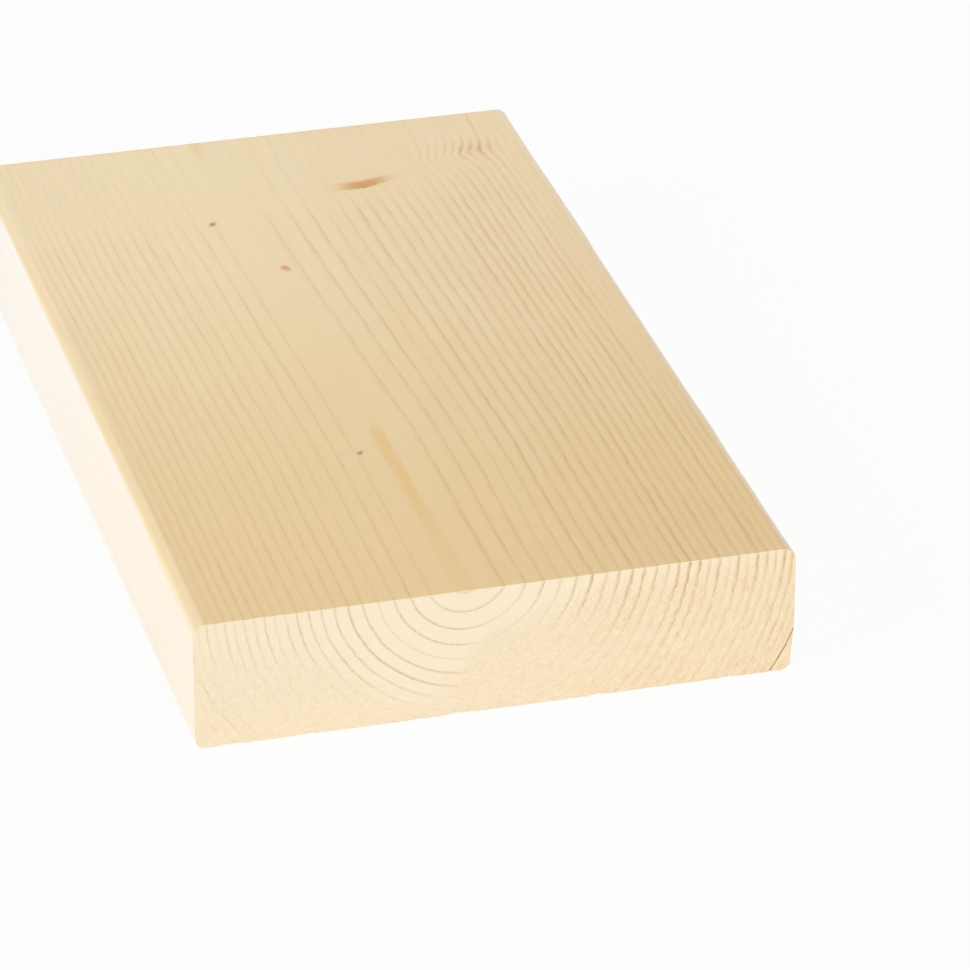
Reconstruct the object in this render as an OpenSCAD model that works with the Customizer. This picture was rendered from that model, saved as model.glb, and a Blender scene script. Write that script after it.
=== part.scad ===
// Short length of planed softwood plank, cut square at both ends.
// It lies flat on its broad face: X is the width, Y the length and Z the thickness.
// The origin is the middle of the face it lies on.

/* [Section] */
// Finished width across the broad faces
width = 195; // [70:1:300]
// Finished thickness between the broad faces
thickness = 44; // [16:1:100]
// Radius of the eased arris along each long corner
arris_r = 3; // [0.5:0.5:6]

/* [Length] */
// Length between the two sawn ends
length = 344; // [100:1:6000]

/* [Hidden] */
// Facets of a full circle when the arrises are drawn
$fn = 64;
// Straight width of a broad face between its two arrises
face_w = width - 2 * arris_r;
// Straight height of a narrow edge between its two arrises
edge_h = thickness - 2 * arris_r;
// Pale planed spruce
wood_colour = [0.90, 0.80, 0.62];

// Planed cross-section, centred on the origin: flat faces meeting in quarter-round arrises.
module planed_section() {
    square([face_w, thickness], center = true);
    square([width, edge_h], center = true);
    for (side = [-1, 1], level = [-1, 1])
        translate([side * face_w / 2, level * edge_h / 2])
            circle(r = arris_r);
}

// The whole plank: the section run along Y, lifted so that its lower face lies on Z = 0.
module plank() {
    color(wood_colour)
        translate([0, 0, thickness / 2])
            rotate([90, 0, 0])
                linear_extrude(height = length, center = true)
                    planed_section();
}

plank();
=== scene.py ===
"""Looks of a short length of planed spruce plank, lying flat on a white floor.

The wood is one solid figure: growth rings round a pith that runs just above the upper face.
Each face of the plank cuts through that figure, so the ring lines meet at every corner.
Lengths are millimetres in the plank's own frame, unless a name says otherwise.
"""
import math

import bmesh
import bpy
import numpy as np
from mathutils import Euler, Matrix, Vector, noise


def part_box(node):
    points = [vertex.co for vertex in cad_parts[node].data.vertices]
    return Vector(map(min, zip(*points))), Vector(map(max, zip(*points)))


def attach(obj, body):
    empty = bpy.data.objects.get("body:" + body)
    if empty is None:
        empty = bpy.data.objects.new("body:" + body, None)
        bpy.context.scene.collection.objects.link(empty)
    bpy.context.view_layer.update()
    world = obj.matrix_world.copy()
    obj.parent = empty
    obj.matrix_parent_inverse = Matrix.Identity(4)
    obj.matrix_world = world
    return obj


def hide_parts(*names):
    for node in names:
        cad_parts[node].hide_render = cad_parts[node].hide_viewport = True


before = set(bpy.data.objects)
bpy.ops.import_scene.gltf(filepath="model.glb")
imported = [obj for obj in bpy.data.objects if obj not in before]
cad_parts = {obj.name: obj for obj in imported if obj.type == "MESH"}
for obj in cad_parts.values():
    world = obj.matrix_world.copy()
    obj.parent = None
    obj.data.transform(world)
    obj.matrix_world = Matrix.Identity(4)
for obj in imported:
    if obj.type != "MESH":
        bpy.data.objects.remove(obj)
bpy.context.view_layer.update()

MM = 0.001

# Outer faces of the plank
LOW = Vector(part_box("plank")[0]) / MM
HIGH = Vector(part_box("plank")[1]) / MM
NEAR_Y = LOW.y
FAR_Y = HIGH.y
TOP_Z = HIGH.z
MID_Z = (LOW.z + HIGH.z) / 2
HALF_WIDTH = HIGH.x
HALF_THICKNESS = TOP_Z - MID_Z

# Eased arrises along the length, and how much rounder wear has made them: most at the upper right
ARRIS_R = 3.0
ARRIS_WEAR = 1.3
LIGHT_WEAR_SHARE = 0.3
WEAR_LEVEL = 0.8
WEAR_SCALE = np.array((0.05, 0.03, 0.1))
ARRIS_ZONE = 4.8

# Grid steps of the skin: fine across the grain and by the sawn ends, long along the grain
FINE_STEP = 0.6
FACE_STEP = 0.8
LENGTH_STEP = 5.0
END_ZONE = 6.0

# Angle past which a corner of the skin stays sharp, and distance that counts as on an end
SHARP_ANGLE = math.radians(40)
ON_END = 1e-6

# Slow unevenness of the planed faces
FACE_SINK = 0.1
FACE_SWELL_ACROSS = 30.0
FACE_SWELL_ALONG = 80.0
EDGE_PATTERN_SHIFT = 9.0

# Roughness left by the saw on both ends, and splinters broken from the lower edge of each;
# the shifts keep the two ends and the two sizes of splinter unlike
SAW_DEPTH = 0.2
SAW_GRAIN = 1.6
SAW_FRACTAL = (0.8, 2.0, 3)
SAW_END_SHIFT = 3.1
KERF_DEPTH = 0.05
KERF_PITCH = 1.75
KERF_LEAN = 0.2
CHIP_DEPTH = 0.75
CHIP_LENGTH = 9.0
CHIP_REACH_Y = 3.5
CHIP_REACH_Z = 2.5
CHIP_END_SHIFT = 7.3
CHIP_DETAIL = 3.7
CHIP_DETAIL_SHARE = 0.5
CHIP_DETAIL_SHIFT = 5.0

# Pith: its height over the upper face, where it dips along the length, and its drift to the left
PITH_X = -9.6
PITH_RISE = 7.45
PITH_DIPS = ((1.0, -45.0, -65.0), (0.55, -105.0, -185.0), (1.7, 140.0, 180.0))
PITH_DRIFT = -9.0
PITH_DRIFT_START_Y = -100.0
PITH_DRIFT_END_Y = 150.0
PITH_DRIFT_FADE = 100.0
PITH_LEAN = -1.2
PITH_LEAN_REACH = 14.0

# Rings: count = start + radius * (rate + radius * crowding), so they narrow steadily outwards
RING_START = 0.058
RING_RATE = 0.122
RING_CROWDING = 0.00124
RING_ECCENTRICITY = 0.03
RING_TOLERANCE = 0.5
LATE_WIDTH_LEFT = 1.8
LATE_WIDTH_RIGHT = 2.1
LATE_EDGE = 0.5
EDGE_LATE_LOSS = 0.8
EDGE_LATE_CRISPER = 0.32
RING_MIN = 0.5
RING_SPREAD = 0.7
RING_LEFT_SHARE = 0.6
DARK_RINGS = {1: 0.5, 6: 0.25, 9: 0.25, 14: 0.2, 21: 0.2, 24: 0.4}
RUSTY_RINGS = {1: 1.0, 14: 0.7, 21: 0.65}
END_RUSTY_RINGS = {1: 1.0, 9: 0.5, 10: 0.4, 11: 0.4, 13: 0.4, 14: 1.2, 17: 0.3, 21: 0.4}
LEFT_RUSTY_RINGS = {5: 1.0, 6: 0.8}
LASTING_RING = 21
LASTING = 0.6

# Calm zone: beyond a slanting line across the far part, along the far edge and in a band by the right
# edge, the ring lines are nearly lost; round the whorl they are stirred up again
CALM_SLOPE = 0.2
CALM_START_Y = 88.0
CALM_FULL_Y = 118.0
CALM_FULL_X = 63.0
CALM_END_X = 78.0
CALM_LAST_START_Y = 145.0
CALM_LAST_FULL_Y = 155.0
CALM_BAND_START_X = 83.0
CALM_BAND_FULL_X = 89.0
CALM_BAND_START_Y = -90.0
CALM_BAND_FULL_Y = -30.0
CALM_BAND = 0.8
CALM_LEFT = 0.6
CALM_RIGHT = 0.85
STIRRED_WIDTH = 16.0
STIRRED_LENGTH = 7.0
STIRRED = 0.6

# Ring shake: a curved crack across the lower right corner of the near end. The skin is refined
# within three reaches of it, and the sliver outside it is drawn in
SHAKE_CENTRE_X = 40.8
SHAKE_CENTRE_Z = 35.2
SHAKE_RADIUS = 60.0
SHAKE_MIN_X = 88.0
SHAKE_MAX_Z = 18.0
SHAKE_HALF_WIDTH = 0.22
SHAKE_DEPTH = 1.6
SHAKE_RUN = 14.0
SHAKE_REFINING = (2.4, 1.6, 1.0)
FACING_NEAR = -0.5
SLIVER_SHIFT = 0.8
SLIVER_EASE = 3.0

# Hairlines: closed cracks that show as fine dark arcs low on the near end, as radius and strength
HAIRLINE_CENTRE_X = -25.5
HAIRLINE_CENTRE_Z = 51.8
HAIRLINE_RADII = {71.7: 0.5, 75.0: 1.0, 78.3: 0.5}
SHAKE_SIDE_RADII = {50.5: 0.6, 53.5: 1.0, 56.0: 1.2, 58.0: 1.0}
HAIRLINE_MAX_Z = 32.0
HAIRLINE_WIDTH = 0.3
HAIRLINE_START_X = -49.6
HAIRLINE_FULL_X = -69.6
SHAKE_SIDE_START_X = 62.0
SHAKE_SIDE_FULL_X = 78.0
HAIRLINE_BREAK_SIZE = 5.0
HAIRLINE_BROKEN = -0.35
HAIRLINE_WHOLE = 0.25

# Pin knots on the upper face: place across, place along, radius, slant in degrees, darkness of the core
PIN_KNOTS = (
    (-27.4, 104.8, 1.25, 60.0, 1.0),
    (-10.9, 64.4, 1.5, 105.0, 0.0),
    (-19.6, -74.3, 1.05, 60.0, 1.0),
)
KNOT_DEPTH = 6.0
KNOT_FULL_DEPTH = 1.0
PIN_RAGGED = 0.45
PIN_RAG_SIZE = (1.1, 3.0)
PIN_LENGTH_SCALE = 0.75
PIN_BREADTH_SCALE = 1.15
PIN_BEND = 0.5
PIN_BEND_REACH = 2.5
PIN_HALO = 0.3
PIN_HALO_REACH = 2.6
PIN_RIM = 0.85
PIN_RIM_START = 1.7
PIN_RIM_FULL = 0.4

# Spike knot: a small branch that lies in the upper face and dives under it towards the right edge
SPIKE_X = 31.5
SPIKE_Y = 123.2
SPIKE_REACH_LEFT = 8.3
SPIKE_REACH_RIGHT = 9.3
SPIKE_RISE = 0.27
SPIKE_MIDDLE = 2.0
SPIKE_BLUNTNESS = 2.4
SPIKE_UPPER_EDGE = 5.0
SPIKE_UPPER_FULL = 0.6
SPIKE_LOWER_EDGE = -4.3
SPIKE_LOWER_FULL = -2.5
SPIKE_TAIL = 0.1
SPIKE_TEETH = 1.1
SPIKE_TOOTH_WIDTH = 1.25
SPIKE_TOOTH_LENGTH = 5.0
SPIKE_GOLD_V = -2.5
SPIKE_ORANGE_V = 0.5
SPIKE_PALER_V = 1.5
SPIKE_SALMON_V = 4.5
HALO = 0.3
HALO_U = 3.0
HALO_V = -2.0
HALO_LENGTH = 20.0
HALO_WIDTH = 7.0

# Whorl: where the branch dives, the rings swing to the left and sharply back again
WHORL_X = 69.0
WHORL_Y = 138.0
WHORL_SLOPE = 0.15
WHORL_WIDTH = 15.0
WHORL_NEAR = 10.0
WHORL_FAR = 7.5
WHORL_PUSH = 4.2
WHORL_DEPTH = 20.0
WHORL_SHARPNESS = 1.4
WHORL_STROKE_X = 77.0
WHORL_STROKE_Y = 142.0
WHORL_STROKE_WIDTH = 7.0
WHORL_STROKE_LENGTH = 4.5
STROKE_GROUND = 0.1
STROKE_LINES = 0.8

# Texture sheet: left edge, lower edge and scale of each side, on a square of this many units
SHEET = 1024.0
SHEET_PLACES = {
    "upper": (6, 208, 2.35),
    "left": (472, 208, 2.35),
    "right": (584, 208, 2.35),
    "lower": (696, 474, 1.58),
    "far": (696, 400, 1.58),
    "near": (6, 12, 4.2),
}


def srgb(red, green, blue):
    """Colour given as 0 to 255 screen values, as the linear RGBA that shaders take."""
    def linear(value):
        value = value / 255
        return value / 12.92 if value <= 0.04045 else ((value + 0.055) / 1.055) ** 2.4
    return (linear(red), linear(green), linear(blue), 1.0)


# Colours of the wood
# The earlywood goes paler and greyer from the near end to the far end: painted sheen.
EARLYWOOD_NEAR = srgb(232, 201, 144)
EARLYWOOD_FAR_PAINTED_SHEEN = srgb(239, 217, 170)
LATEWOOD = srgb(190, 144, 62)
RUSTY = srgb(206, 140, 72)
AMBER = srgb(231, 188, 110)
# Pale long edges: paler wood, and on the left side painted light; whiter towards the far end as painted
# sheen.
EDGE_PALE_AND_LIT = srgb(246, 236, 222)
EDGE_FAR_PALE_AND_LIT = srgb(247, 244, 238)
# Painted highlight on the left upper arris, where it turns to the strong light.
ARRIS_HIGHLIGHT = srgb(248, 225, 182)
EDGE_GREY = srgb(232, 214, 194)
PALE_TINT = srgb(241, 225, 190)
ROSY_TINT = srgb(238, 200, 166)
WARM_TINT = srgb(229, 188, 132)
KNOT_CORE = srgb(146, 98, 2)
KNOT_OLIVE = srgb(196, 148, 72)
KNOT_SALMON = srgb(200, 136, 68)
SPIKE_SALMON = srgb(252, 196, 140)
SPIKE_HALO = srgb(244, 212, 146)
SPIKE_ORANGE = srgb(212, 140, 56)
SPIKE_GOLD = srgb(194, 140, 30)
STROKE_ORANGE = srgb(208, 144, 70)
END_PALE = srgb(244, 228, 200)
END_TAN = srgb(239, 210, 164)
END_WHITE = srgb(248, 236, 213)
END_OLIVE = srgb(182, 146, 50)
END_LATEWOOD = srgb(197, 154, 68)

# Noise: layers of detail, and how strong each finer layer is beside the one before
COARSE_DETAIL = 2.0
FINE_DETAIL = 3.0
NOISE_ROUGHNESS = 0.55

# Zones of the figure: its right part, the near end of that, and the two long edges
RIGHT_START_X = -45.0
RIGHT_FULL_X = 55.0
NEARER_START_Y = 20.0
NEARER_FULL_Y = -150.0
NEARER_BASE = 0.4
NEARER_GAIN = 0.8
EDGE_START = 6.0
EDGE_FULL = 1.0

# Left edge: its reach from the side, and the worn upper arris towards the near end
LEFT_EDGE_REACH = 1.0
WORN_START_Y = -90.0
WORN_FULL_Y = -150.0
WORN = 0.7
LOW_SIDE_START = 1.5
LOW_SIDE_FULL = 6.0

# Ring lines: slow wander and fine quiver, as shift in millimetres and size of a blob across and along
WANDER = 1.6
WANDER_EDGE_LOSS = 0.7
WANDER_SIZE = (45.0, 120.0)
QUIVER_LEFT = 0.4
QUIVER_RIGHT = 0.65
QUIVER_SIZE = (3.0, 8.0)
EDGE_QUIVER = 0.25
EDGE_QUIVER_SIZE = (3.0, 50.0, 1.5)

# Ring lines on the planed faces: strength, patches along them, and where they are partly lost
LINES_LEFT = 0.28
LINES_RIGHT = 0.27
PATCHINESS = 1.3
PATCH_SIZE = (2.5, 14.0)
ARRIS_START = 5.0
ARRIS_FULL = 2.0
ARRIS_LOSS = 0.8
# The left side's ring lines are faded under its painted light.
LEFT_EDGE_LOSS = 0.75
FIRST_RING_LOSS = 0.6
RUST = 0.2
SEASON_START = 2.8
SEASON_FULL = 0.3
SEASON = 0.1

# Strips beside the upper arrises (by the left one a painted highlight), the far rim and the pale long
# edges (paler wood, and painted light on the left side): distance from the edge, and strength
RIGHT_WARMTH = 0.16
RAGGED_SIZE = (20.0, 9.0)
RAGGED_DEPTH = 0.5
LEFT_HIGHLIGHT_START = 5.2
LEFT_HIGHLIGHT_FULL = 2.2
LEFT_HIGHLIGHT_STRENGTH = 0.85
RIGHT_STRIP_START = 5.0
RIGHT_STRIP_FULL = 1.5
RIGHT_STRIP = 0.6
FAR_RIM_START = 4.0
FAR_RIM_FULL = 0.5
FAR_RIM = 0.3
RIGHT_EDGE_START = 3.5
RIGHT_EDGE_FULL = 0.1
# The left side is painted far paler than the right: painted light from the strong lamp on that side.
LEFT_SIDE_PAINTED_LIGHT = 0.88
RIGHT_PALENESS = 0.25

# Clouds and streaks: size of a blob across and along, shift of the pattern, noise at which the tint
# starts and is full, strength, tint
SOFT_TINTS = (
    ((28.0, 170.0), 0.0, 0.05, 0.7, 0.2, WARM_TINT),
    ((28.0, 170.0), 0.0, -0.05, -0.7, 0.25, PALE_TINT),
    ((17.0, 45.0), 5.0, 0.05, 0.6, 0.2, ROSY_TINT),
    ((2.2, 70.0), 0.0, 0.0, 0.6, 0.14, WARM_TINT),
)

# Amber flame: its depth inside the first ring, its ragged soft outer side, and its fading along
# the length
FLAME_START = 2.4
FLAME_FULL = 1.2
FLAME_RAGGED = 0.35
FLAME_RAG_SIZE = (4.0, 14.0, 2.0)
FLAME_SOFT = 0.8
FLAME_FAR_SOFT = 0.6
FLAME_NEAR = 0.15
FLAME_GAIN = 0.6
FLAME_NEAR_Y = -150.0
FLAME_FULL_Y = -95.0
FLAME_FAR_START_Y = 100.0
FLAME_SOFT_FULL_Y = 150.0
FLAME_FAR_END_Y = 165.0
FLAME_FAR_LOSS = 0.2

# Fibres of the planed faces: size, shade, relief in millimetres and roughness
COARSE_FIBRE_SIZE = (1.1111, 45.0)
FINE_FIBRE_SIZE = (0.3125, 18.0)
GRIT_SIZE = (0.5, 3.0)
RIGHT_SHADE = 0.025
COARSE_SHADE = 0.03
FINE_SHADE = 0.035
GRIT_SHADE = 0.025
COARSE_RELIEF = 0.02
FINE_RELIEF = 0.03
PLANED_ROUGHNESS = 0.5
FINE_ROUGHNESS = 0.06
SPECULAR = 0.4

# Sawn ends, clean cut: the height it starts at, its dip to the left of the pith, and its ragged limit
TORN_WIDTH = 22.0
TORN_HEIGHT = 12.0
CLEAN_LEFT_Z = 31.0
CLEAN_RIGHT_Z = 41.0
CLEAN_RISE_START_X = 0.0
CLEAN_RISE_FULL_X = 45.0
CLEAN_DIP = 22.0
CLEAN_DIP_X = -28.0
CLEAN_DIP_WIDTH = 26.0
CLEAN_DIP_END_X = -2.0
CLEAN_DIP_FULL_X = -12.0
CLEAN_DIP_RAGGED = 4.0
CLEAN_RAGGED = 6.0
CLEAN_RING_GRAIN = 0.3
CLEAN_SOFT_LOW = -8.0
CLEAN_SOFT_HIGH = 6.0

# Sawn ends, noise along the rings: blobs to a millimetre outwards and around, and shift of the pattern
TURN_RADIUS = 55.0
TEAR_BLOBS = (0.3, 0.5, 0.0)
FUZZ_BLOBS = (0.6, 0.25, 0.0)
SPECKLE_BLOBS = (1.5, 0.6, 20.0)
PATCH_BLOBS = (0.4, 0.3, 40.0)
DASH_BLOBS = (1.1, 0.4, 60.0)

# Sawn ends, ring lines: width, zigzag left by the saw's teeth, and strength by zone
END_LATE_WIDTH = 1.3
END_LATE_SPREAD = 0.4
END_LATE_EDGE = 0.4
ZIGZAG = 0.45
TEAR = 0.5
TOP_RIGHT_START_Z = 32.0
TOP_RIGHT_FULL_Z = 42.0
UPPER_START_Z = 12.0
UPPER_FULL_Z = 38.0
UPPER_BASE = 0.35
UPPER_GAIN = 0.65
ROUGH_LINES = 0.12
CLEAN_LINES = 0.74
RIGHT_LINES = 0.66
TOP_RIGHT_LINES = 0.3
END_LINES_LEFT = 0.68
END_LINES_RIGHT = 0.42
RUST_START_Z = 18.0
RUST_FULL_Z = 34.0
END_RUST_RIGHT = 0.24
END_RUST_LEFT = 0.2
HAIRLINE = 0.24

# Sawn ends, zones where the ring lines are partly lost: their limits, and the share that is lost
WASHED_X = 4.0
WASHED_Z = 35.0
WASHED_REACH = 9.0
WASHED = 0.65
LOST_START_X = -12.0
LOST_FULL_X = -5.0
LOST_LAST_X = 26.0
LOST_END_X = 48.0
LOST_FULL_Z = 26.0
LOST_END_Z = 34.0
LOST = 0.7
OUTER_LEFT_START_X = -62.0
OUTER_LEFT_FULL_X = -82.0
OUTER_LEFT = 0.4
SUNK_START_Z = 15.0
SUNK_FULL_Z = 4.0
SUNK = 0.6

# Sawn ends, ground: tan to the right, fuzz, white where the cut is clean, torn dashes, speckle
# and a painted highlight along the upper rim
END_TAN_LEFT = 0.12
END_TAN_GAIN = 0.24
TAN_START_X = -30.0
TAN_FULL_X = 90.0
TAN_RAGGED = 30.0
FUZZ_LEFT = 0.26
FUZZ_RIGHT = 0.6
FUZZ_START = -0.1
FUZZ_FULL = 0.5
FUZZ_MOTTLE = 0.35
FUZZ_CLEAN_LOSS = 0.8
MOTTLE_WIDTH = 5.0
MOTTLE_HEIGHT = 4.0
WHITE_START_X = -75.0
WHITE_FULL_X = -25.0
CLEAN_WHITE_LEFT = 0.1
CLEAN_WHITE = 0.35
DASH_LEFT = 0.75
DASH_RIGHT = 1.35
DASH_START = 0.25
DASH_FULL = 0.5
DASH_DARK = 0.24
DASH_LIGHT = 0.6
SPECKLE = 0.09
SPECKLE_CLEAN_LOSS = 0.05
TOP_RIM_HIGHLIGHT_START = 0.9
TOP_RIM_HIGHLIGHT_FULL = 0.1
TOP_RIM_HIGHLIGHT = 0.6

# Sawn ends: roughness, and relief in millimetres
SAWN_ROUGHNESS = 0.82
FUZZ_ROUGHNESS = 0.08
FUZZ_RELIEF = 0.12
SPECKLE_RELIEF = 0.14
RELIEF_CLEAN_LOSS = 0.6

# Camera: place in the plank's frame, turn about the vertical, downward tilt, roll and lens
CAMERA_PLACE = (-441.1, -1769.8, 965.5)
CAMERA_TURN = math.radians(-15.29)
CAMERA_TILT = math.radians(28.116)
CAMERA_ROLL = math.radians(0.11)
CAMERA_LENS = 226.03
CAMERA_SENSOR = 36.0

# Lamps: place and aim in metres, size in metres, power in watts
SOFT_BOXES = {
    "left_soft_box": ((-1.75, -0.45, 0.6), (0.0, 0.0, 0.02), 1.3, 18.8),
    "front_soft_box": ((0.7, -1.95, 0.8), (0.0, 0.0, 0.02), 1.3, 18.4),
    "back_soft_box": ((0.35, 1.9, 0.5), (0.0, 0.0, 0.02), 1.2, 10.0),
    "right_soft_box": ((1.9, 0.3, 0.5), (0.0, 0.0, 0.02), 1.3, 8.0),
}
WORLD_LIGHT = 0.5
FLOOR_SIZE = 8.0
FLOOR_ALBEDO = 0.85
FLOOR_GLOW = 0.93


class Field:
    """A number or colour that varies through the wood: a node socket that takes part in arithmetic."""

    def __init__(self, graph, socket):
        self.graph = graph
        self.socket = socket

    def __add__(self, other):
        return self.graph.math("ADD", self, other)

    def __radd__(self, other):
        return self.graph.math("ADD", other, self)

    def __sub__(self, other):
        return self.graph.math("SUBTRACT", self, other)

    def __rsub__(self, other):
        return self.graph.math("SUBTRACT", other, self)

    def __mul__(self, other):
        return self.graph.math("MULTIPLY", self, other)

    def __rmul__(self, other):
        return self.graph.math("MULTIPLY", other, self)

    def __truediv__(self, other):
        return self.graph.math("DIVIDE", self, other)

    def __neg__(self):
        return self.graph.math("MULTIPLY", self, -1.0)

    def __abs__(self):
        return self.graph.math("ABSOLUTE", self)


class Graph:
    """Adds nodes to one node tree, by formula."""

    def __init__(self, tree):
        self.tree = tree
        tree.nodes.clear()

    def node(self, kind, inputs=(), **settings):
        """Adds a node of that kind, with its settings and inputs."""
        made = self.tree.nodes.new(kind)
        for name, value in settings.items():
            setattr(made, name, value)
        for key, value in dict(inputs).items():
            self.feed(made.inputs[key], value)
        return made

    def feed(self, socket, value):
        """Links a field to an input, or sets the input to a constant."""
        if isinstance(value, Field):
            self.tree.links.new(value.socket, socket)
        else:
            socket.default_value = value

    def math(self, operation, *values):
        """Result of one arithmetic operation."""
        made = self.node("ShaderNodeMath", enumerate(values), operation=operation)
        return Field(self, made.outputs[0])

    def smooth(self, value, low, high):
        """Smooth step from 0 to 1 as value goes from low to high, either of which may be the larger."""
        inputs = {"Value": value, "From Min": low, "From Max": high}
        made = self.node("ShaderNodeMapRange", inputs, interpolation_type="SMOOTHSTEP")
        return Field(self, made.outputs["Result"])

    def bell(self, value, width):
        """Bell curve: 1 where value is 0, fading over that width to either side."""
        share = value / width
        return self.math("EXPONENT", -(share * share))

    def vector(self, x, y, z):
        """Three numbers joined to one vector."""
        made = self.node("ShaderNodeCombineXYZ", {"X": x, "Y": y, "Z": z})
        return Field(self, made.outputs["Vector"])

    def noise(self, x, y, z, detail=COARSE_DETAIL):
        """Smooth noise from about -1 to 1, one blob to a unit of each coordinate."""
        inputs = {"Vector": self.vector(x, y, z), "Scale": 1.0, "Detail": detail}
        made = self.node("ShaderNodeTexNoise", inputs)
        made.inputs["Roughness"].default_value = NOISE_ROUGHNESS
        return Field(self, made.outputs["Fac"]) * 2.0 - 1.0

    def chance(self, number):
        """A fixed random value from 0 to 1 for each whole number."""
        made = self.node("ShaderNodeTexWhiteNoise", {"W": number}, noise_dimensions="1D")
        return Field(self, made.outputs["Value"])

    def mix(self, amount, first, second):
        """Number that goes from first to second as amount goes from 0 to 1."""
        return first + (second - first) * amount

    def blend(self, amount, first, second):
        """Colour that goes from first to second as amount goes from 0 to 1."""
        made = self.node("ShaderNodeMix", {0: amount, 6: first, 7: second}, data_type="RGBA")
        return Field(self, made.outputs[2])

    def scaled(self, colour, amount):
        """Colour made lighter or darker by a factor."""
        made = self.node("ShaderNodeVectorMath", {0: colour, "Scale": amount}, operation="SCALE")
        return Field(self, made.outputs["Vector"])

    def place(self):
        """Coordinates in the plank's frame, in millimetres."""
        made = self.node("ShaderNodeTexCoord")
        parts = self.node("ShaderNodeSeparateXYZ", {"Vector": Field(self, made.outputs["Object"])})
        return [Field(self, parts.outputs[axis]) / MM for axis in "XYZ"]


class Figure:
    """The solid figure of the wood at a point: its place round the pith, rings and knots."""

    def __init__(self, graph):
        self.graph = graph
        self.x, self.y, self.z = graph.place()
        self.right = graph.smooth(self.x, RIGHT_START_X, RIGHT_FULL_X)
        nearness = graph.smooth(self.y, NEARER_START_Y, NEARER_FULL_Y)
        self.nearer = self.right * (NEARER_BASE + nearness * NEARER_GAIN)
        self.edge = graph.smooth(abs(self.x), HIGH.x - EDGE_START, HIGH.x - EDGE_FULL)
        self.near_top = graph.smooth(self.z, TOP_Z - KNOT_DEPTH, TOP_Z - KNOT_FULL_DEPTH)
        self.pins = self.pin_distances()
        self.across = self.x - PITH_X - self.pith_drift() + self.waver() + self.whorl_push()
        self.down = self.z - TOP_Z - self.pith_rise()
        self.radius = self.radius_from_pith()

    def grain(self, size, detail=COARSE_DETAIL, shift=0.0):
        """Noise in blobs of a width across the grain and a length along it."""
        width, length = size
        return self.graph.noise(self.x / width, self.y / length, self.z / width + shift, detail)

    def ring_noise(self, blobs, detail=COARSE_DETAIL):
        """Noise on an end, in blobs that follow the rings."""
        outwards, around, shift = blobs
        turn = self.graph.math("ARCTAN2", self.down, self.across) * TURN_RADIUS
        return self.graph.noise(self.radius * outwards, turn * around, self.y + shift, detail)

    def pith_rise(self):
        """Height of the pith over the upper face."""
        rise = PITH_RISE
        for depth, start, end in PITH_DIPS:
            rise = rise - self.graph.smooth(self.y, start, end) * depth
        return rise

    def pith_drift(self):
        """Sideways drift of the pith along the length and its lean, which die away outwards."""
        g = self.graph
        drift = g.smooth(self.y, PITH_DRIFT_START_Y, PITH_DRIFT_END_Y) * PITH_DRIFT
        fading = g.math("EXPONENT", abs(self.x - PITH_X) / -PITH_DRIFT_FADE)
        return drift * fading + g.bell(self.x - PITH_X, PITH_LEAN_REACH) * PITH_LEAN

    def waver(self):
        """Slow wander of the ring lines and a fine quiver, drawn out to slivers on the long edges."""
        g = self.graph
        wander = self.grain(WANDER_SIZE) * (WANDER - self.edge * WANDER_EDGE_LOSS)
        quiver = self.grain(QUIVER_SIZE, FINE_DETAIL) * g.mix(self.right, QUIVER_LEFT, QUIVER_RIGHT)
        width, length, height = EDGE_QUIVER_SIZE
        slivers = g.noise(self.x / width, self.y / length, self.z / height, FINE_DETAIL)
        return wander + g.mix(self.edge, quiver, slivers * EDGE_QUIVER)

    def whorl_push(self):
        """How far the rings swing to the left where the branch dives: a sharp fold across the grain."""
        g = self.graph
        fold_y = WHORL_Y + (self.x - WHORL_X) * WHORL_SLOPE
        offset = self.y - fold_y
        near = g.math("MAXIMUM", -offset, 0.0) / WHORL_NEAR
        far = g.math("MAXIMUM", offset, 0.0) / WHORL_FAR
        fold = g.math("EXPONENT", -g.math("POWER", near + far, WHORL_SHARPNESS))
        across = g.bell(self.x - WHORL_X, WHORL_WIDTH)
        return fold * across * g.smooth(self.z, TOP_Z - WHORL_DEPTH, TOP_Z) * WHORL_PUSH

    def whorl_stroke(self):
        """The darker, warmer strokes on the far limb of the whorl."""
        g = self.graph
        across = g.bell(self.x - WHORL_STROKE_X, WHORL_STROKE_WIDTH)
        along = g.bell(self.y - WHORL_STROKE_Y, WHORL_STROKE_LENGTH)
        return across * along * self.near_top

    def pin_distances(self):
        """Distance from the middle of each pin knot, on a slanting ragged oval."""
        g = self.graph
        width, depth = PIN_RAG_SIZE
        ragged = g.noise(self.x / width, self.y / width, self.z / depth) * PIN_RAGGED
        distances = []
        for pin_x, pin_y, _, slant, _ in PIN_KNOTS:
            turn = math.radians(slant)
            side = self.x - pin_x
            along = self.y - pin_y
            length = (side * math.cos(turn) + along * math.sin(turn)) * PIN_LENGTH_SCALE
            breadth = (along * math.cos(turn) - side * math.sin(turn)) * PIN_BREADTH_SCALE
            distances.append(g.math("SQRT", length * length + breadth * breadth) + ragged)
        return distances

    def radius_from_pith(self):
        """Distance from the pith, drawn out to one side and bent round the pin knots."""
        g = self.graph
        squares = self.across * self.across + self.down * self.down
        radius = g.math("SQRT", squares) - self.across * RING_ECCENTRICITY
        for distance, (_, _, size, _, _) in zip(self.pins, PIN_KNOTS):
            radius = radius + g.bell(distance, PIN_BEND_REACH) * self.near_top * size * PIN_BEND
        return radius

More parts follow.
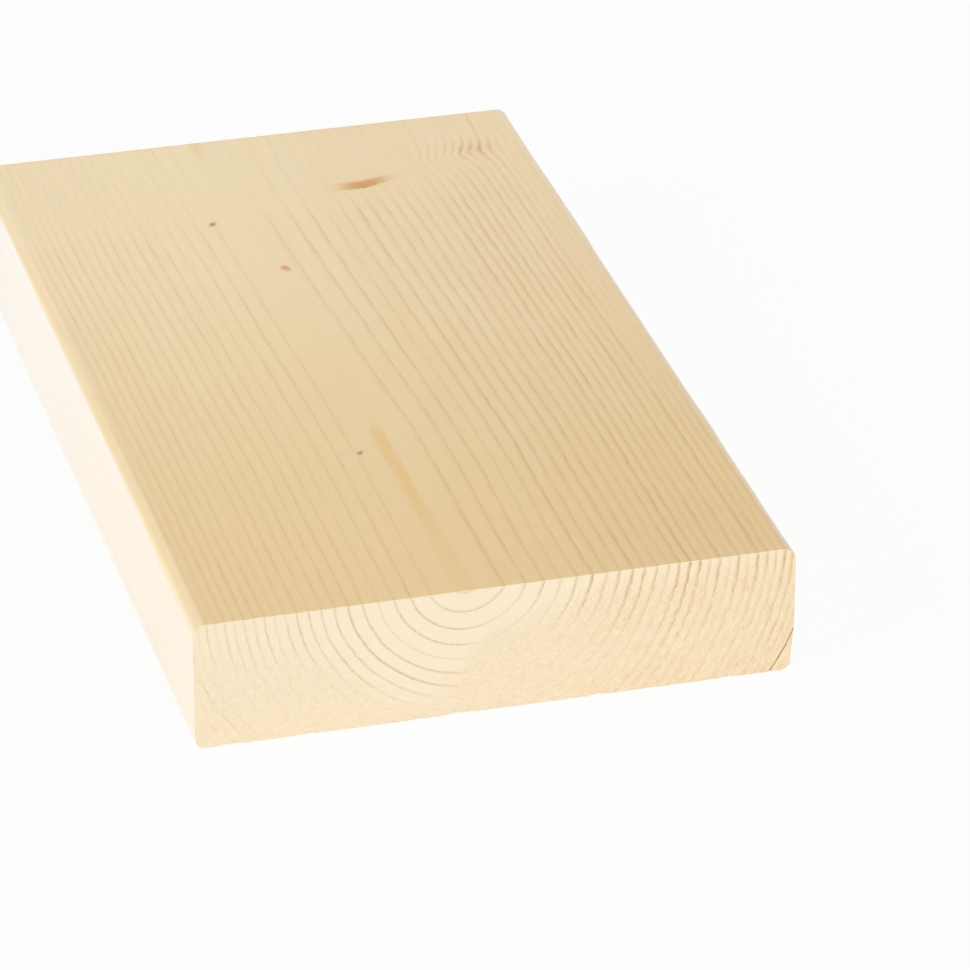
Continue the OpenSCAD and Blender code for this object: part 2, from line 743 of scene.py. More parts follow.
    def rings(self, radius, late_width, late_edge):
        """Ring number at a radius, depth inside that ring's outer edge, and its latewood."""
        g = self.graph
        count = RING_START + radius * (RING_RATE + radius * RING_CROWDING)
        ring = g.math("FLOOR", count)
        rings_per_mm = RING_RATE + radius * (2.0 * RING_CROWDING)
        inside = (1.0 - (count - ring)) / rings_per_mm
        late = g.smooth(inside, late_width, late_edge) * g.smooth(inside, 0.0, late_edge)
        return ring, inside, late * self.ring_strength(ring)

    def ring_strength(self, ring):
        """How dark a ring's latewood is: by chance, stronger to the right, strongest in a few rings."""
        g = self.graph
        by_chance = RING_MIN + RING_SPREAD * g.chance(ring)
        strength = by_chance * g.mix(self.right, RING_LEFT_SHARE, 1.0)
        return strength + self.chosen(ring, DARK_RINGS) * self.nearer

    def in_ring(self, ring, number):
        """1 in the ring of that number, 0 in the others."""
        return self.graph.math("COMPARE", ring, float(number), RING_TOLERANCE)

    def chosen(self, ring, amounts):
        """The amount that is listed for a ring, or 0 where none is."""
        total = 0.0
        for number, amount in amounts.items():
            total = total + self.in_ring(ring, number) * amount
        return total

    def arcs(self, centre_x, centre_z, radii):
        """Fine arcs round a centre on the end, each radius with its own strength."""
        g = self.graph
        side = self.x - centre_x
        up = self.z - centre_z
        distance = g.math("SQRT", side * side + up * up)
        total = 0.0
        for radius, strength in radii.items():
            total = total + g.bell(distance - radius, HAIRLINE_WIDTH) * strength
        return total

    def hairlines(self):
        """Broken dark arcs low on the near end: in the left corner, and beside the shake."""
        g = self.graph
        left = self.arcs(HAIRLINE_CENTRE_X, HAIRLINE_CENTRE_Z, HAIRLINE_RADII)
        left = left * g.smooth(self.x, HAIRLINE_START_X, HAIRLINE_FULL_X)
        right = self.arcs(SHAKE_CENTRE_X, SHAKE_CENTRE_Z, SHAKE_SIDE_RADII)
        right = right * g.smooth(self.x, SHAKE_SIDE_START_X, SHAKE_SIDE_FULL_X)
        low = g.smooth(self.z, HAIRLINE_MAX_Z, HAIRLINE_MAX_Z / 2) * g.smooth(self.y, 0.0, NEAR_Y)
        breaks = g.noise(self.x / HAIRLINE_BREAK_SIZE, 0.0, self.z / HAIRLINE_BREAK_SIZE)
        return (left + right) * low * g.smooth(breaks, HAIRLINE_BROKEN, HAIRLINE_WHOLE)

    def spike_place(self):
        """Coordinates along and across the spike knot, which bends up to the right."""
        u = self.x - SPIKE_X
        v = self.y - SPIKE_Y - self.graph.math("MAXIMUM", u, 0.0) * SPIKE_RISE
        return u, v

    def spike(self):
        """Strength of the spike knot: soft along its far side, ragged and sharper along its near side."""
        g = self.graph
        u, v = self.spike_place()
        teeth = g.noise(u / SPIKE_TOOTH_WIDTH, v / SPIKE_TOOTH_LENGTH, 0.0) * SPIKE_TEETH
        far_side = g.smooth(v, SPIKE_UPPER_EDGE, SPIKE_UPPER_FULL)
        tail = g.math("MAXIMUM", u, 0.0) * SPIKE_TAIL
        near_side = g.smooth(v + teeth - tail, SPIKE_LOWER_EDGE, SPIKE_LOWER_FULL)
        reach = g.mix(g.smooth(u, -SPIKE_MIDDLE, SPIKE_MIDDLE), SPIKE_REACH_LEFT, SPIKE_REACH_RIGHT)
        ends = g.math("EXPONENT", -g.math("POWER", abs(u) / reach, SPIKE_BLUNTNESS))
        return ends * far_side * near_side * self.near_top

    def calm(self):
        """Blurred wood beyond the spike knot and along the right edge, with its ring lines nearly lost."""
        g = self.graph
        beyond = self.y - g.math("MAXIMUM", self.x, 0.0) * CALM_SLOPE
        calm = g.smooth(beyond, CALM_START_Y, CALM_FULL_Y) * g.smooth(self.x, CALM_END_X, CALM_FULL_X)
        last = g.smooth(self.y, CALM_LAST_START_Y, CALM_LAST_FULL_Y)
        along = g.smooth(self.y, CALM_BAND_START_Y, CALM_BAND_FULL_Y)
        band = g.smooth(self.x, CALM_BAND_START_X, CALM_BAND_FULL_X) * along * CALM_BAND
        stirred = g.bell(self.x - WHORL_X, STIRRED_WIDTH)
        stirred = stirred * g.bell(self.y - WHORL_STROKE_Y, STIRRED_LENGTH)
        calm = g.math("MAXIMUM", g.math("MAXIMUM", calm, last), band)
        return calm * (1.0 - stirred * STIRRED) * self.near_top

    def left_edge(self):
        """The left edge, with less of its upper arris where that is worn, towards the near end."""
        g = self.graph
        worn = g.smooth(self.y, WORN_START_Y, WORN_FULL_Y) * WORN
        low_side = g.smooth(self.z, TOP_Z - LOW_SIDE_START, TOP_Z - LOW_SIDE_FULL)
        return g.smooth(self.x, LOW.x + LEFT_EDGE_REACH, LOW.x) * g.mix(worn, 1.0, low_side)


def new_material(name):
    """An empty material and the graph of its nodes."""
    material = bpy.data.materials.new(name)
    material.use_nodes = True
    return material, Graph(material.node_tree)


def finish_material(material, graph, colour, roughness, height):
    """Joins colour, roughness and relief in millimetres to the material's shader."""
    bump = graph.node("ShaderNodeBump", {"Height": height})
    bump.inputs["Distance"].default_value = MM
    bump.inputs["Strength"].default_value = 1.0
    shader = graph.node("ShaderNodeBsdfPrincipled", {
        "Base Color": colour,
        "Roughness": roughness,
        "Normal": Field(graph, bump.outputs["Normal"]),
    })
    shader.inputs["Specular IOR Level"].default_value = SPECULAR
    output = graph.node("ShaderNodeOutputMaterial")
    graph.tree.links.new(shader.outputs["BSDF"], output.inputs["Surface"])
    return material


def planed_ground(g, wood, along):
    """Ground of the planed faces, paler towards the far end as painted sheen, with a painted highlight
    along the left arris and a grey strip by the right.
    """
    # Paler and greyer towards the far end: painted sheen.
    colour = g.blend(along, EARLYWOOD_NEAR, EARLYWOOD_FAR_PAINTED_SHEEN)
    colour = g.blend(wood.right * RIGHT_WARMTH, colour, WARM_TINT)
    # Painted highlight on the left arris, where it turns to the strong light.
    width, length = RAGGED_SIZE
    ragged_x = wood.x + g.noise(wood.x / width, wood.y / length, 0.0) * RAGGED_DEPTH
    left_arris_highlight = g.smooth(ragged_x, LOW.x + LEFT_HIGHLIGHT_START, LOW.x + LEFT_HIGHLIGHT_FULL)
    colour = g.blend(left_arris_highlight * LEFT_HIGHLIGHT_STRENGTH, colour, ARRIS_HIGHLIGHT)
    right_strip = g.smooth(wood.x, HIGH.x - RIGHT_STRIP_START, HIGH.x - RIGHT_STRIP_FULL)
    return g.blend(right_strip * wood.near_top * RIGHT_STRIP, colour, EDGE_GREY)


def soft_tints(g, wood, colour):
    """Faint clouds and streaks of warmer, paler and rosier wood."""
    for size, shift, start, full, strength, tint in SOFT_TINTS:
        cloud = g.smooth(wood.grain(size, shift=shift), start, full)
        colour = g.blend(cloud * strength, colour, tint)
    return colour


def pale_and_lit_edges(g, wood, colour, along, left_edge):
    """The rosy rim of the far end, and the long edges: paler wood on both, with painted light on the left
    side, and whiter towards the far end as painted sheen.
    """
    far_rim = g.smooth(wood.y, FAR_Y - FAR_RIM_START, FAR_Y - FAR_RIM_FULL)
    colour = g.blend(far_rim * FAR_RIM, colour, ROSY_TINT)
    right_edge = g.smooth(wood.x, HIGH.x - RIGHT_EDGE_START, HIGH.x - RIGHT_EDGE_FULL)
    # Painted light on the left side and paler wood on both edges, whiter towards the far end as painted
    # sheen.
    side_pale_and_lit = g.blend(along, EDGE_PALE_AND_LIT, EDGE_FAR_PALE_AND_LIT)
    return g.blend(left_edge * LEFT_SIDE_PAINTED_LIGHT + right_edge * RIGHT_PALENESS, colour, side_pale_and_lit)


def flame(g, wood, colour, inside, first_ring):
    """The amber flame: the outer edge of the first ring, where it only just breaks the upper face."""
    y = wood.y
    width, length, shift = FLAME_RAG_SIZE
    depth = inside + g.noise(wood.x / width, y / length, shift) * FLAME_RAGGED
    soft = FLAME_SOFT + g.smooth(y, FLAME_FAR_START_Y, FLAME_SOFT_FULL_Y) * FLAME_FAR_SOFT
    amber = first_ring * g.smooth(inside, FLAME_START, FLAME_FULL) * g.smooth(depth, 0.0, soft)
    strength = FLAME_NEAR + g.smooth(y, FLAME_NEAR_Y, FLAME_FULL_Y) * FLAME_GAIN
    far_loss = g.smooth(y, FLAME_FAR_START_Y, FLAME_FAR_END_Y) * FLAME_FAR_LOSS
    return g.blend(amber * strength * (1.0 - far_loss), colour, AMBER)


def branch(g, wood, colour, late):
    """The strokes of the whorl, and the spike knot in its golden halo."""
    stroke = wood.whorl_stroke() * (STROKE_GROUND + late * STROKE_LINES)
    colour = g.blend(stroke, colour, STROKE_ORANGE)
    u, v = wood.spike_place()
    halo = g.bell(u - HALO_U, HALO_LENGTH) * g.bell(v - HALO_V, HALO_WIDTH) * wood.near_top
    colour = g.blend(halo * HALO, colour, SPIKE_HALO)
    spike_colour = g.blend(g.smooth(v, SPIKE_GOLD_V, SPIKE_ORANGE_V), SPIKE_GOLD, SPIKE_ORANGE)
    paler = g.smooth(v, SPIKE_PALER_V, SPIKE_SALMON_V)
    return g.blend(wood.spike(), colour, g.blend(paler, spike_colour, SPIKE_SALMON))


def pin_knots(g, wood, colour):
    """Pin knots: a rosy halo, a rim and a core, which is as dark as listed."""
    for distance, (_, _, size, _, darkness) in zip(wood.pins, PIN_KNOTS):
        halo = g.bell(distance, size * PIN_HALO_REACH) * wood.near_top
        colour = g.blend(halo * PIN_HALO, colour, ROSY_TINT)
        rim_colour = KNOT_OLIVE if darkness else KNOT_SALMON
        rim = g.smooth(distance, size * PIN_RIM_START, size * PIN_RIM_FULL) * wood.near_top
        colour = g.blend(rim * PIN_RIM, colour, rim_colour)
        core = g.smooth(distance, size, 0.0) * wood.near_top
        colour = g.blend(core * darkness, colour, KNOT_CORE)
    return colour


def planed_wood():
    """Planed long faces: ring lines along the length, fibres, the amber flame, knots and the whorl."""
    material, g = new_material("planed_spruce")
    wood = Figure(g)
    late_width = g.mix(wood.right, LATE_WIDTH_LEFT, LATE_WIDTH_RIGHT) - wood.edge * EDGE_LATE_LOSS
    ring, inside, late = wood.rings(wood.radius, late_width, LATE_EDGE - wood.edge * EDGE_LATE_CRISPER)
    first_ring = wood.in_ring(ring, 0)
    lasting = wood.in_ring(ring, LASTING_RING) * LASTING
    calm = wood.calm() * g.mix(wood.right, CALM_LEFT, CALM_RIGHT) * (1.0 - lasting)
    left_edge = wood.left_edge()
    # Share of the way from the near end to the far end; the planed faces grow paler along it as painted
    # sheen.
    along = g.smooth(wood.y, NEAR_Y, FAR_Y)

    colour = planed_ground(g, wood, along)
    colour = soft_tints(g, wood, colour)
    season = g.smooth(inside, SEASON_START, SEASON_FULL) * (1.0 - first_ring) * (1.0 - calm)
    colour = g.blend(season * SEASON, colour, WARM_TINT)
    colour = pale_and_lit_edges(g, wood, colour, along, left_edge)
    patchy = 1.0 + wood.grain(PATCH_SIZE, FINE_DETAIL) * PATCHINESS
    arris = g.smooth(abs(wood.x), HIGH.x - ARRIS_START, HIGH.x - ARRIS_FULL) * wood.near_top
    plain = (1.0 - calm) * (1.0 - first_ring * FIRST_RING_LOSS)
    # The ring lines fade on the left side, under its painted light.
    lines = late * patchy * plain * (1.0 - arris * ARRIS_LOSS) * (1.0 - left_edge * LEFT_EDGE_LOSS)
    colour = g.blend(lines * g.mix(wood.right, LINES_LEFT, LINES_RIGHT), colour, LATEWOOD)
    rust = late * wood.chosen(ring, RUSTY_RINGS) * wood.nearer
    colour = g.blend(rust * RUST, colour, RUSTY)
    colour = flame(g, wood, colour, inside, first_ring)
    colour = branch(g, wood, colour, late)
    colour = pin_knots(g, wood, colour)

    coarse_fibre = wood.grain(COARSE_FIBRE_SIZE)
    fine_fibre = wood.grain(FINE_FIBRE_SIZE, FINE_DETAIL)
    fibres = coarse_fibre * COARSE_SHADE + fine_fibre * FINE_SHADE + wood.grain(GRIT_SIZE) * GRIT_SHADE
    colour = g.scaled(colour, 1.0 - wood.right * RIGHT_SHADE + fibres)
    roughness = PLANED_ROUGHNESS + fine_fibre * FINE_ROUGHNESS
    height = fine_fibre * FINE_RELIEF + coarse_fibre * COARSE_RELIEF
    return finish_material(material, g, colour, roughness, height)


def clean_cut(g, wood, torn):
    """1 where the saw cut cleanly: along the top of an end, and further down to the left of the pith."""
    x = wood.x
    left_of_pith = g.smooth(x + torn * CLEAN_DIP_RAGGED, CLEAN_DIP_END_X, CLEAN_DIP_FULL_X)
    dip = g.bell(x - CLEAN_DIP_X, CLEAN_DIP_WIDTH) * left_of_pith * CLEAN_DIP
    to_right = g.smooth(x, CLEAN_RISE_START_X, CLEAN_RISE_FULL_X)
    ring_end = g.noise(wood.radius * CLEAN_RING_GRAIN, 0.0, 0.0)
    ragged = (torn + ring_end) * CLEAN_RAGGED
    limit = g.mix(to_right, CLEAN_LEFT_Z, CLEAN_RIGHT_Z) - dip + ragged
    return g.smooth(wood.z - limit, CLEAN_SOFT_LOW, CLEAN_SOFT_HIGH)


def end_lines_kept(g, wood):
    """Share of the ring lines that is left in each part of an end."""
    x, z = wood.x, wood.z
    washed = g.bell(x - WASHED_X, WASHED_REACH) * g.bell(z - WASHED_Z, WASHED_REACH)
    lost_across = g.smooth(x, LOST_START_X, LOST_FULL_X) * g.smooth(x, LOST_END_X, LOST_LAST_X)
    lost = lost_across * g.smooth(z, LOST_END_Z, LOST_FULL_Z)
    outer_left = g.smooth(x, OUTER_LEFT_START_X, OUTER_LEFT_FULL_X)
    sunk = (1.0 - wood.right) * g.smooth(z, SUNK_START_Z, SUNK_FULL_Z)
    kept = 1.0
    for zone, loss in ((washed, WASHED), (lost, LOST), (outer_left, OUTER_LEFT), (sunk, SUNK)):
        kept = kept * (1.0 - zone * loss)
    return kept


def end_ground(g, wood, torn, clean, fuzz):
    """Ground of an end: tan to the right, fuzz along the rings, and white where the cut is clean."""
    x = wood.x
    tan = END_TAN_LEFT + g.smooth(x + torn * TAN_RAGGED, TAN_START_X, TAN_FULL_X) * END_TAN_GAIN
    colour = g.blend(tan, END_PALE, END_TAN)
    mottle = g.noise(x / MOTTLE_WIDTH, wood.y, wood.z / MOTTLE_HEIGHT)
    fuzz_depth = g.mix(wood.right, FUZZ_LEFT, FUZZ_RIGHT) + mottle * FUZZ_MOTTLE
    fuzz_depth = fuzz_depth * (1.0 - clean * FUZZ_CLEAN_LOSS)
    colour = g.blend(g.smooth(fuzz, FUZZ_START, FUZZ_FULL) * fuzz_depth, colour, END_TAN)
    whiteness = g.mix(g.smooth(x, WHITE_START_X, WHITE_FULL_X), CLEAN_WHITE_LEFT, CLEAN_WHITE)
    return g.blend(clean * whiteness, colour, END_WHITE)


def end_lines(g, wood, colour, clean):
    """Ring arcs of an end, frayed by the saw where the cut is rough, its hairlines and rusty rings."""
    x, z, right = wood.x, wood.z, wood.right
    rough = 1.0 - clean
    rough_right = right * rough
    top_right = right * g.smooth(z, TOP_RIGHT_START_Z, TOP_RIGHT_FULL_Z)
    zigzag = g.math("PINGPONG", z + x * KERF_LEAN, KERF_PITCH / 2) - KERF_PITCH / 4
    frayed = (zigzag * ZIGZAG + wood.ring_noise(TEAR_BLOBS) * TEAR) * rough
    late_width = END_LATE_WIDTH + (rough_right + top_right) * END_LATE_SPREAD
    ring, _, late = wood.rings(wood.radius + frayed, late_width, END_LATE_EDGE)

    patchy = 1.0 + wood.ring_noise(PATCH_BLOBS)
    upper = UPPER_BASE + g.smooth(z, UPPER_START_Z, UPPER_FULL_Z) * UPPER_GAIN
    depth = ROUGH_LINES + clean * CLEAN_LINES + rough_right * upper * RIGHT_LINES
    depth = depth + top_right * TOP_RIGHT_LINES
    lines = late * patchy * depth * end_lines_kept(g, wood)
    line_colour = g.blend(right, END_OLIVE, END_LATEWOOD)
    colour = g.blend(lines * g.mix(right, END_LINES_LEFT, END_LINES_RIGHT), colour, line_colour)
    colour = g.blend(wood.hairlines() * HAIRLINE, colour, END_OLIVE)
    right_rust = wood.chosen(ring, END_RUSTY_RINGS) * right * g.smooth(z, RUST_START_Z, RUST_FULL_Z)
    left_rust = wood.chosen(ring, LEFT_RUSTY_RINGS) * (1.0 - right) * clean
    rust = late * (right_rust * END_RUST_RIGHT + left_rust * END_RUST_LEFT)
    return g.blend(rust, colour, RUSTY)


def torn_dashes(g, wood, colour, clean):
    """Short dark and light dashes where the saw tore fibres out."""
    dashes = wood.ring_noise(DASH_BLOBS)
    torn_out = (1.0 - clean) * g.mix(wood.right, DASH_LEFT, DASH_RIGHT)
    dark = g.smooth(dashes, DASH_START, DASH_FULL) * torn_out
    light = g.smooth(dashes, -DASH_START, -DASH_FULL) * torn_out
    colour = g.blend(dark * DASH_DARK, colour, END_OLIVE)
    return g.blend(light * DASH_LIGHT, colour, END_WHITE)


def sawn_end():
    """Sawn ends: crisp ring arcs where the cut is clean, and fuzz that follows the rings elsewhere."""
    material, g = new_material("sawn_end_grain")
    wood = Figure(g)
    torn = g.noise(wood.x / TORN_WIDTH, wood.y, wood.z / TORN_HEIGHT, FINE_DETAIL)
    clean = clean_cut(g, wood, torn)
    fuzz = wood.ring_noise(FUZZ_BLOBS, FINE_DETAIL)
    speckle = wood.ring_noise(SPECKLE_BLOBS, FINE_DETAIL)

    colour = end_ground(g, wood, torn, clean, fuzz)
    colour = end_lines(g, wood, colour, clean)
    colour = torn_dashes(g, wood, colour, clean)
    colour = g.scaled(colour, 1.0 + speckle * (SPECKLE - clean * SPECKLE_CLEAN_LOSS))
    # Pale line along the upper edge of each end: painted highlight where the edge catches the light.
    top_rim_highlight = g.smooth(wood.z, TOP_Z - TOP_RIM_HIGHLIGHT_START, TOP_Z - TOP_RIM_HIGHLIGHT_FULL)
    colour = g.blend(top_rim_highlight * TOP_RIM_HIGHLIGHT, colour, PALE_TINT)

    roughness = SAWN_ROUGHNESS + fuzz * FUZZ_ROUGHNESS
    height = (fuzz * FUZZ_RELIEF + speckle * SPECKLE_RELIEF) * (1.0 - clean * RELIEF_CLEAN_LOSS)
    return finish_material(material, g, colour, roughness, height)


def stations(low, high, zone, fine, coarse):
    """Grid places from low to high: fine steps within a zone at either end, coarse steps between."""
    edge = np.linspace(0.0, zone, round(zone / fine) + 1)
    inner = np.linspace(low + zone, high - zone, round((high - low - 2 * zone) / coarse) + 1)
    return np.concatenate([low + edge[:-1], inner, (high - edge[:-1])[::-1]])


def box_skin(xs, ys, zs):
    """Closed box surface through the grid stations: places, faces, and the side each face is on."""
    last = (len(xs) - 1, len(ys) - 1, len(zs) - 1)
    index = {}
    faces = []
    sides = []

    def vertex(*key):
        return index.setdefault(key, len(index))

    def add_side(name, columns, rows, corner, flip):
        for a in range(columns):
            for b in range(rows):
                ring = [(a, b), (a + 1, b), (a + 1, b + 1), (a, b + 1)]
                face = [vertex(*corner(p, q)) for p, q in ring]
                faces.append(face[::-1] if flip else face)
                sides.append(name)

    add_side("upper", last[0], last[1], lambda a, b: (a, b, last[2]), False)
    add_side("lower", last[0], last[1], lambda a, b: (a, b, 0), True)
    add_side("right", last[1], last[2], lambda a, b: (last[0], a, b), False)
    add_side("left", last[1], last[2], lambda a, b: (0, a, b), True)
    add_side("near", last[0], last[2], lambda a, b: (a, 0, b), False)
    add_side("far", last[0], last[2], lambda a, b: (a, last[1], b), True)
    places = np.array([(xs[i], ys[j], zs[k]) for i, j, k in index])
    return places, faces, sides


def sheet_point(side, place):
    """Place of a corner of the box skin on the texture sheet, from 0 to 1."""
    left, lower, scale = SHEET_PLACES[side]
    x, y, z = place - np.array(LOW)
    across = {"left": z, "right": z}.get(side, x)
    up = {"near": z, "far": z}.get(side, y)
    return ((left + across * scale) / SHEET, (lower + up * scale) / SHEET)


def ease_arrises(places):
    """Rounds the four long corners, more where wear has been."""
    wear = np.array([noise.noise(Vector(place)) for place in places * WEAR_SCALE])
    upper_right = (places[:, 0] > 0.0) & (places[:, 2] > MID_Z)
    share = np.where(upper_right, 1.0, LIGHT_WEAR_SHARE)
    radius = ARRIS_R + ARRIS_WEAR * share * np.clip(wear + WEAR_LEVEL, 0.0, 1.0)
    side_x = np.sign(places[:, 0])
    side_z = np.sign(places[:, 2] - MID_Z)
    u = np.clip((np.abs(places[:, 0]) - (HALF_WIDTH - radius)) / radius, 0.0, 1.0)
    v = np.clip((np.abs(places[:, 2] - MID_Z) - (HALF_THICKNESS - radius)) / radius, 0.0, 1.0)
    eased = places.copy()
    eased[:, 0] += side_x * radius * (u * np.sqrt(1 - v * v / 2) - u)
    eased[:, 2] += side_z * radius * (v * np.sqrt(1 - u * u / 2) - v)
    return eased


def as_share(value):
    """A wave from -1 to 1, as a share from 0 to 1."""
    return 0.5 + 0.5 * value


def settle_faces(places):
    """Draws the planed faces in by a slow, slight unevenness."""
    for place in places:
        x, y, z = place
        along = y / FACE_SWELL_ALONG
        over = noise.noise(Vector((x / FACE_SWELL_ACROSS, along, z / HALF_THICKNESS)))
        beside = noise.noise(Vector((x / HALF_WIDTH, along, z / FACE_SWELL_ACROSS + EDGE_PATTERN_SHIFT)))
        place[0] -= x / HALF_WIDTH * FACE_SINK * as_share(beside)
        place[2] -= (z - MID_Z) / HALF_THICKNESS * FACE_SINK * as_share(over)


def chip_at(x, end):
    """Depth of the splinters broken from the lower edge of an end."""
    along = x / CHIP_LENGTH
    shift = end * CHIP_END_SHIFT
    broad = noise.noise(Vector((along, shift, 0.0)))
    small = noise.noise(Vector((along * CHIP_DETAIL, shift, CHIP_DETAIL_SHIFT)))
    return CHIP_DEPTH * max(0.0, broad + CHIP_DETAIL_SHARE * small)


def saw_mark(x, z, end):
    """Depth that the saw left at a point of an end: torn grain, and the slanting lines of the teeth."""
    point = Vector((x / SAW_GRAIN, end * SAW_END_SHIFT, z / SAW_GRAIN))
    grain = noise.fractal(point, *SAW_FRACTAL)
    torn = min(1.0, max(0.0, as_share(grain)))
    kerf = as_share(math.sin((z + x * KERF_LEAN) * math.tau / KERF_PITCH))
    return SAW_DEPTH * torn + KERF_DEPTH * kerf


def roughen_ends(places):
    """Saw marks on both ends, and splinters out of their lower edges."""
    for place in places:
        x, y, z = place
        end = 1.0 if y > 0 else -1.0
        inside = min(y - NEAR_Y, FAR_Y - y)
        if inside >= CHIP_REACH_Y:
            continue
        near_edge = (1.0 - inside / CHIP_REACH_Y) ** 2
        low_edge = max(0.0, 1.0 - z / CHIP_REACH_Z)
        place[2] += chip_at(x, end) * near_edge * low_edge
        if inside < ON_END:
            place[1] -= end * saw_mark(x, z, end)


def draw_in_sliver(places):
    """Moves the sliver outside the shake in a little, most at the near end."""
    x, y, z = places.T
    outside = np.hypot(x - SHAKE_CENTRE_X, z - SHAKE_CENTRE_Z) - SHAKE_RADIUS
    share = np.clip(outside / SLIVER_EASE, 0.0, 1.0) * (x > SHAKE_MIN_X) * (z < SHAKE_MAX_Z)
    along = np.clip(1.0 - (y - NEAR_Y) / SHAKE_RUN, 0.0, 1.0)
    places[:, 0] -= SLIVER_SHIFT * share * along


def shake_distance(place):
    """Distance of a point from the ring shake's surface, or None away from it."""
    x, y, z = place / MM
    if x < SHAKE_MIN_X or z > SHAKE_MAX_Z or y > NEAR_Y + SHAKE_RUN:
        return None
    return abs(math.hypot(x - SHAKE_CENTRE_X, z - SHAKE_CENTRE_Z) - SHAKE_RADIUS)


def open_shake(mesh):
    """Cuts the ring shake as a narrow groove, on a skin refined beside it."""
    bm = bmesh.new()
    bm.from_mesh(mesh)
    for reach in SHAKE_REFINING:
        distances = {v: shake_distance(v.co) for v in bm.verts}
        close = {v for v, distance in distances.items() if distance is not None and distance < reach}
        edges = [e for e in bm.edges if e.verts[0] in close and e.verts[1] in close]
        bmesh.ops.subdivide_edges(bm, edges=edges, cuts=1, use_grid_fill=True)
    bm.normal_update()
    moves = []
    for v in bm.verts:
        distance = shake_distance(v.co)
        if distance is None or distance >= SHAKE_HALF_WIDTH:
            continue
        share = 1.0 - distance / SHAKE_HALF_WIDTH
        along = 1.0 - (v.co.y / MM - NEAR_Y) / SHAKE_RUN
        depth = SHAKE_DEPTH if v.normal.y < FACING_NEAR else SHAKE_HALF_WIDTH * along
        moves.append((v, v.normal * (-depth * share * MM)))
    for v, move in moves:
        v.co += move
    bm.to_mesh(mesh)
    bm.free()


def make_plank():
    """The plank: a closed grid with eased arrises, sawn ends and the shake, dressed in its wood."""
    xs = stations(LOW.x, HIGH.x, ARRIS_ZONE, FINE_STEP, FACE_STEP)
    ys = stations(NEAR_Y, FAR_Y, END_ZONE, FINE_STEP, LENGTH_STEP)
    zs = stations(LOW.z, TOP_Z, ARRIS_ZONE, FINE_STEP, FACE_STEP)
    box_places, faces, sides = box_skin(xs, ys, zs)
    places = ease_arrises(box_places)
    settle_faces(places)
    roughen_ends(places)
    draw_in_sliver(places)

    mesh = bpy.data.meshes.new("spruce_plank")
    mesh.from_pydata((places * MM).tolist(), [], faces)
    mesh.materials.append(planed_wood())
    mesh.materials.append(sawn_end())
    mesh.polygons.foreach_set("material_index", [side in ("near", "far") for side in sides])
    sheet = mesh.uv_layers.new(name="OFBake")
    corners = [sheet_point(side, box_places[v]) for face, side in zip(faces, sides) for v in face]
    sheet.uv.foreach_set("vector", np.array(corners).ravel())
    open_shake(mesh)
    mesh.shade_smooth()
    mesh.set_sharp_from_angle(angle=SHARP_ANGLE)
    mesh.validate()

    plank = bpy.data.objects.new("spruce_plank", mesh)
    bpy.context.collection.objects.link(plank)
    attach(plank, "root")
    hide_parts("plank")


def unless_seen(graph):
    """1 for light on its way round the scene, 0 where the camera, a gloss or a clear body sees it."""
    path = graph.node("ShaderNodeLightPath")
    seen = Field(graph, path.outputs["Is Camera Ray"])
    for kind in ("Is Glossy Ray", "Is Transmission Ray"):
        seen = graph.math("MAXIMUM", seen, Field(graph, path.outputs[kind]))
    return 1.0 - seen


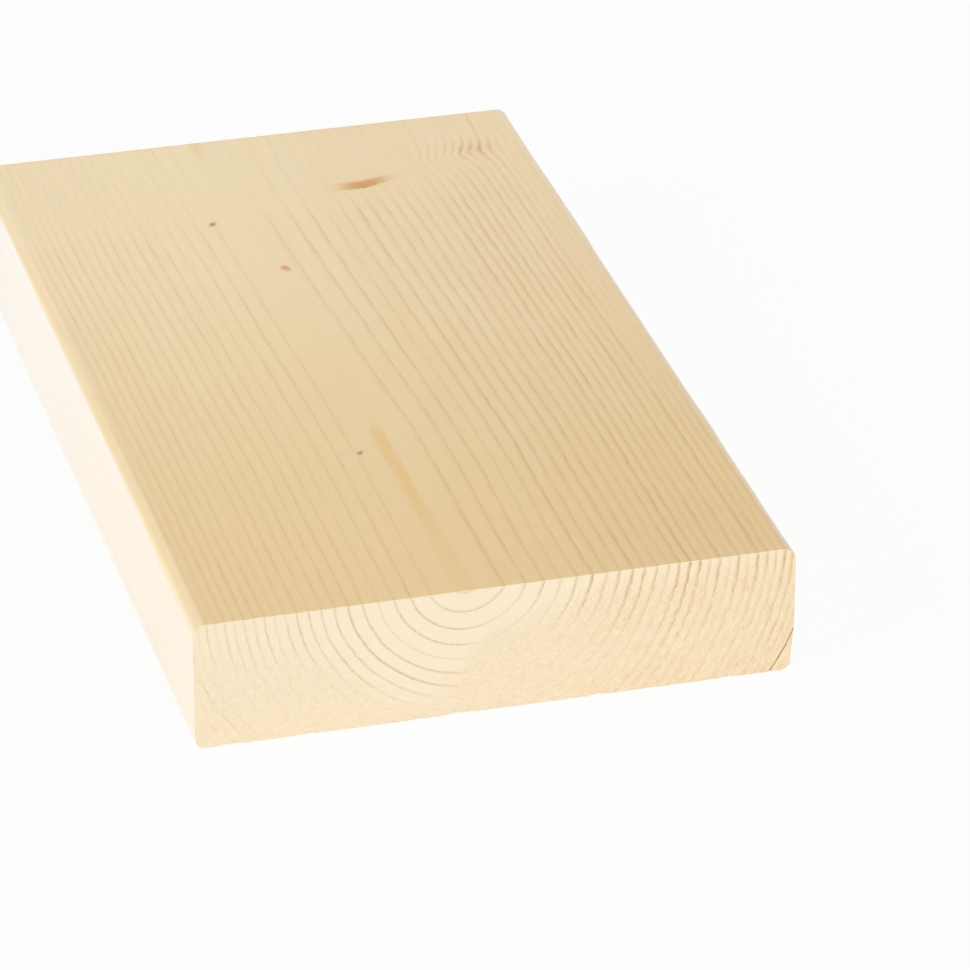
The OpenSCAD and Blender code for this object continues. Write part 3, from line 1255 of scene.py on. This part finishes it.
def make_floor():
    """White floor that still takes the plank's shadow."""
    material, g = new_material("white_floor")
    diffuse = g.node("ShaderNodeBsdfDiffuse")
    diffuse.inputs["Color"].default_value = (FLOOR_ALBEDO, FLOOR_ALBEDO, FLOOR_ALBEDO, 1.0)
    glow = g.node("ShaderNodeEmission")
    glow.inputs["Strength"].default_value = 1.0
    amount = (1.0 - unless_seen(g)) * FLOOR_GLOW
    mixed = g.node("ShaderNodeMixShader", {0: amount})
    g.tree.links.new(diffuse.outputs["BSDF"], mixed.inputs[1])
    g.tree.links.new(glow.outputs["Emission"], mixed.inputs[2])
    output = g.node("ShaderNodeOutputMaterial")
    g.tree.links.new(mixed.outputs["Shader"], output.inputs["Surface"])

    half = FLOOR_SIZE / 2
    corners = [(-half, -half, 0), (half, -half, 0), (half, half, 0), (-half, half, 0)]
    mesh = bpy.data.meshes.new("floor")
    mesh.from_pydata(corners, [], [(0, 1, 2, 3)])
    mesh.materials.append(material)
    floor = bpy.data.objects.new("floor", mesh)
    bpy.context.collection.objects.link(floor)


def light_scene():
    """Plain white surroundings and four soft boxes, the strongest on the left."""
    world = bpy.data.worlds.new("white_room")
    world.use_nodes = True
    g = Graph(world.node_tree)
    strength = 1.0 + unless_seen(g) * (WORLD_LIGHT - 1.0)
    background = g.node("ShaderNodeBackground", {"Strength": strength})
    background.inputs["Color"].default_value = (1.0, 1.0, 1.0, 1.0)
    output = g.node("ShaderNodeOutputWorld")
    g.tree.links.new(background.outputs["Background"], output.inputs["Surface"])
    bpy.context.scene.world = world

    for name, (place, aim, size, power) in SOFT_BOXES.items():
        lamp = bpy.data.lights.new(name, "AREA")
        lamp.size = size
        lamp.energy = power
        soft_box = bpy.data.objects.new(name, lamp)
        soft_box.location = place
        facing = Vector(aim) - Vector(place)
        soft_box.rotation_euler = facing.to_track_quat("-Z", "Y").to_euler()
        bpy.context.collection.objects.link(soft_box)


def make_camera():
    """Camera at the photograph's place and lens."""
    lens = bpy.data.cameras.new("camera")
    lens.lens = CAMERA_LENS
    lens.sensor_width = CAMERA_SENSOR
    camera = bpy.data.objects.new("camera", lens)
    camera.location = Vector(CAMERA_PLACE) * MM
    roll = Euler((0.0, 0.0, CAMERA_ROLL)).to_matrix()
    facing = Euler((math.pi / 2 - CAMERA_TILT, 0.0, CAMERA_TURN)).to_matrix()
    camera.rotation_euler = (facing @ roll).to_euler()
    bpy.context.collection.objects.link(camera)
    bpy.context.scene.camera = camera


make_camera()
make_plank()
make_floor()
light_scene()
bpy.context.scene.view_settings.view_transform = "Standard"
